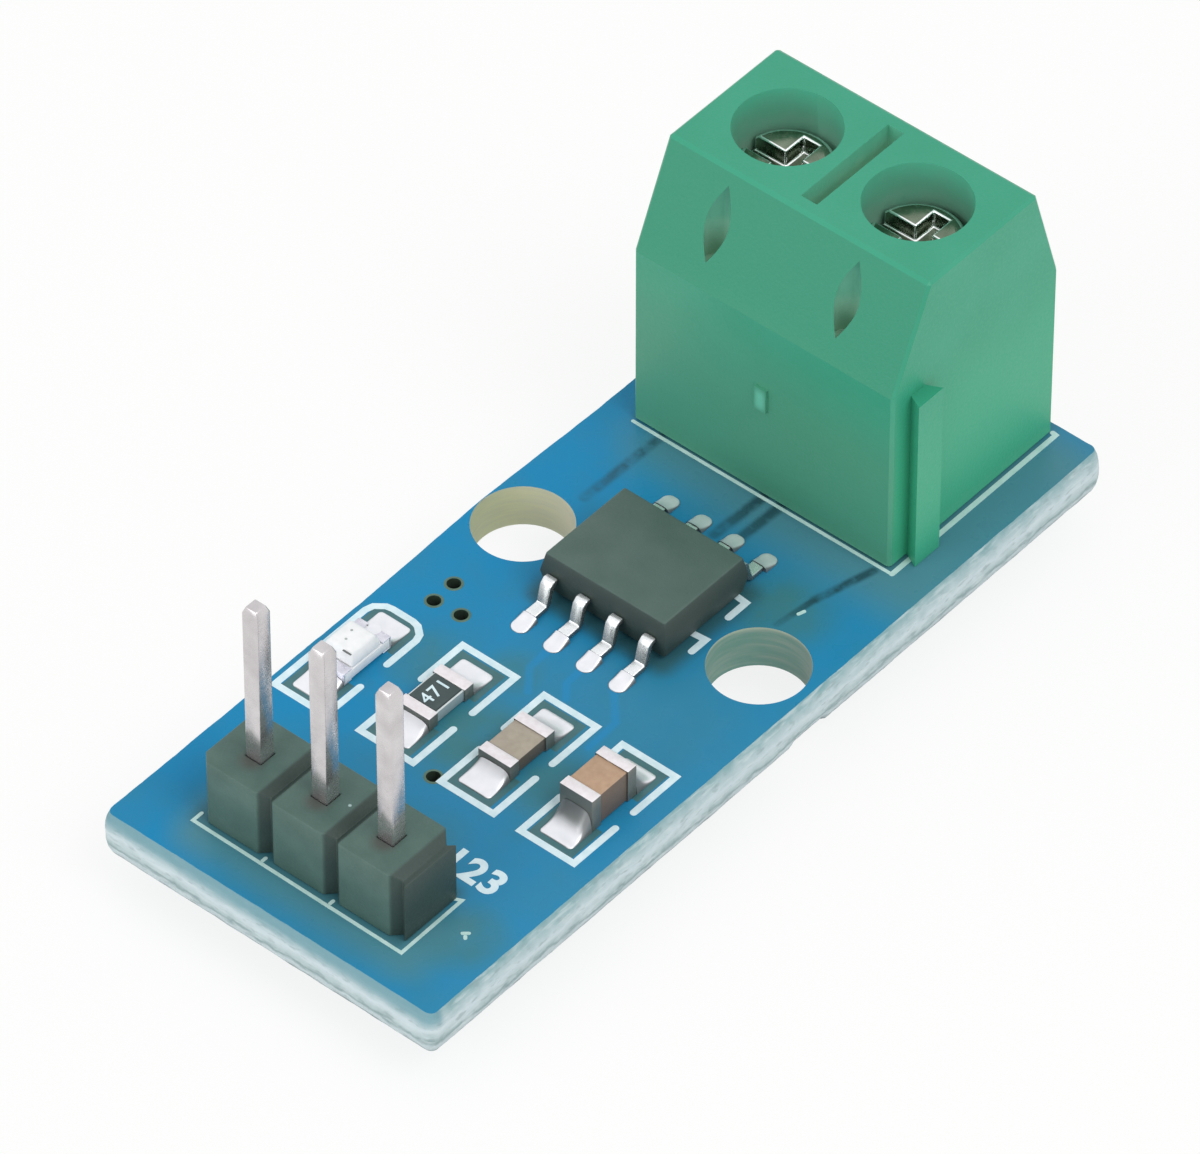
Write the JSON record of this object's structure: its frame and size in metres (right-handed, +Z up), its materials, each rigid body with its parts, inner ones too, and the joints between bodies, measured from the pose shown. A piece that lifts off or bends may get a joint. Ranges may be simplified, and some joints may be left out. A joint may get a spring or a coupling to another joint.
{
  "type": "current sensor module",
  "caption": "Small current sensor breakout: narrow circuit board with a pin header, a row of chip parts, a gull-wing sensor chip and a screw terminal with rising clamp cages.",
  "frame": {"origin": "under the middle of the board, in the plane of the solder tails' ends", "axes": "+Y along the board from the pin header to the screw terminal, +Z up out of the parts side, +X to the right seen from the header end"},
  "size_m": [0.013, 0.031, 0.0136],
  "materials": {
    "board": "satin",
    "black_moulding": "matte",
    "header_pin": "satin",
    "chip_lead": "satin",
    "solder": "gloss",
    "tinned_end": "satin",
    "white_ceramic": "satin",
    "white_resin": "satin",
    "tan_ceramic": "satin",
    "green_nylon": "satin",
    "plated_steel": "satin",
    "tinned_brass": "satin"
  },
  "bodies": {
    "board": {"circuit_board": "board", "header_base": "black_moulding", "header_pin_1": "header_pin", "header_pin_2": "header_pin", "header_pin_3": "header_pin", "header_solder_1": "solder", "header_solder_2": "solder", "header_solder_3": "solder", "terminal_solder_left": "solder", "terminal_solder_right": "solder", "led_base": "white_ceramic", "led_lens": "white_resin", "led_end_near": "tinned_end", "led_end_far": "tinned_end", "led_solder_near": "solder", "led_solder_far": "solder", "resistor_body": "white_ceramic", "resistor_end_near": "tinned_end", "resistor_end_far": "tinned_end", "resistor_solder_near": "solder", "resistor_solder_far": "solder", "low_capacitor_body": "tan_ceramic", "low_capacitor_end_near": "tinned_end", "low_capacitor_end_far": "tinned_end", "low_capacitor_solder_near": "solder", "low_capacitor_solder_far": "solder", "tall_capacitor_body": "tan_ceramic", "tall_capacitor_end_near": "tinned_end", "tall_capacitor_end_far": "tinned_end", "tall_capacitor_solder_near": "solder", "tall_capacitor_solder_far": "solder", "chip_body": "black_moulding", "chip_lead_1": "chip_lead", "chip_lead_2": "chip_lead", "chip_lead_3": "chip_lead", "chip_lead_4": "chip_lead", "chip_lead_5": "chip_lead", "chip_lead_6": "chip_lead", "chip_lead_7": "chip_lead", "chip_lead_8": "chip_lead", "chip_solder_1": "solder", "chip_solder_2": "solder", "chip_solder_3": "solder", "chip_solder_4": "solder", "chip_solder_5": "solder", "chip_solder_6": "solder", "chip_solder_7": "solder", "chip_solder_8": "solder", "terminal_housing": "green_nylon", "terminal_contact_left": "tinned_brass", "terminal_contact_right": "tinned_brass"},
    "screw_left": {"terminal_screw_left": "plated_steel"},
    "screw_right": {"terminal_screw_right": "plated_steel"},
    "cage_left": {"clamp_cage_left": "plated_steel"},
    "cage_right": {"clamp_cage_right": "plated_steel"}
  },
  "joints": [
    {"name": "screw_left_turn", "type": "hinge", "parent": "board", "child": "screw_left", "pos_m": [-0.0027, 0.01132, 0.01078], "axis": [0, 0, -1], "range_deg": [0, 1620]},
    {"name": "screw_right_turn", "type": "hinge", "parent": "board", "child": "screw_right", "pos_m": [0.0023, 0.01132, 0.01078], "axis": [0, 0, -1], "range_deg": [0, 1620]},
    {"name": "cage_left_rise", "type": "slide", "parent": "board", "child": "cage_left", "axis": [0, 0, 1], "range_m": [0, 0.00202]},
    {"name": "cage_right_rise", "type": "slide", "parent": "board", "child": "cage_right", "axis": [0, 0, 1], "range_m": [0, 0.00202]}
  ],
  "couplings": [
    {"joint": "screw_left_turn", "follows": "cage_left_rise", "rad_per_m": 13963},
    {"joint": "screw_right_turn", "follows": "cage_right_rise", "rad_per_m": 13963}
  ]
}
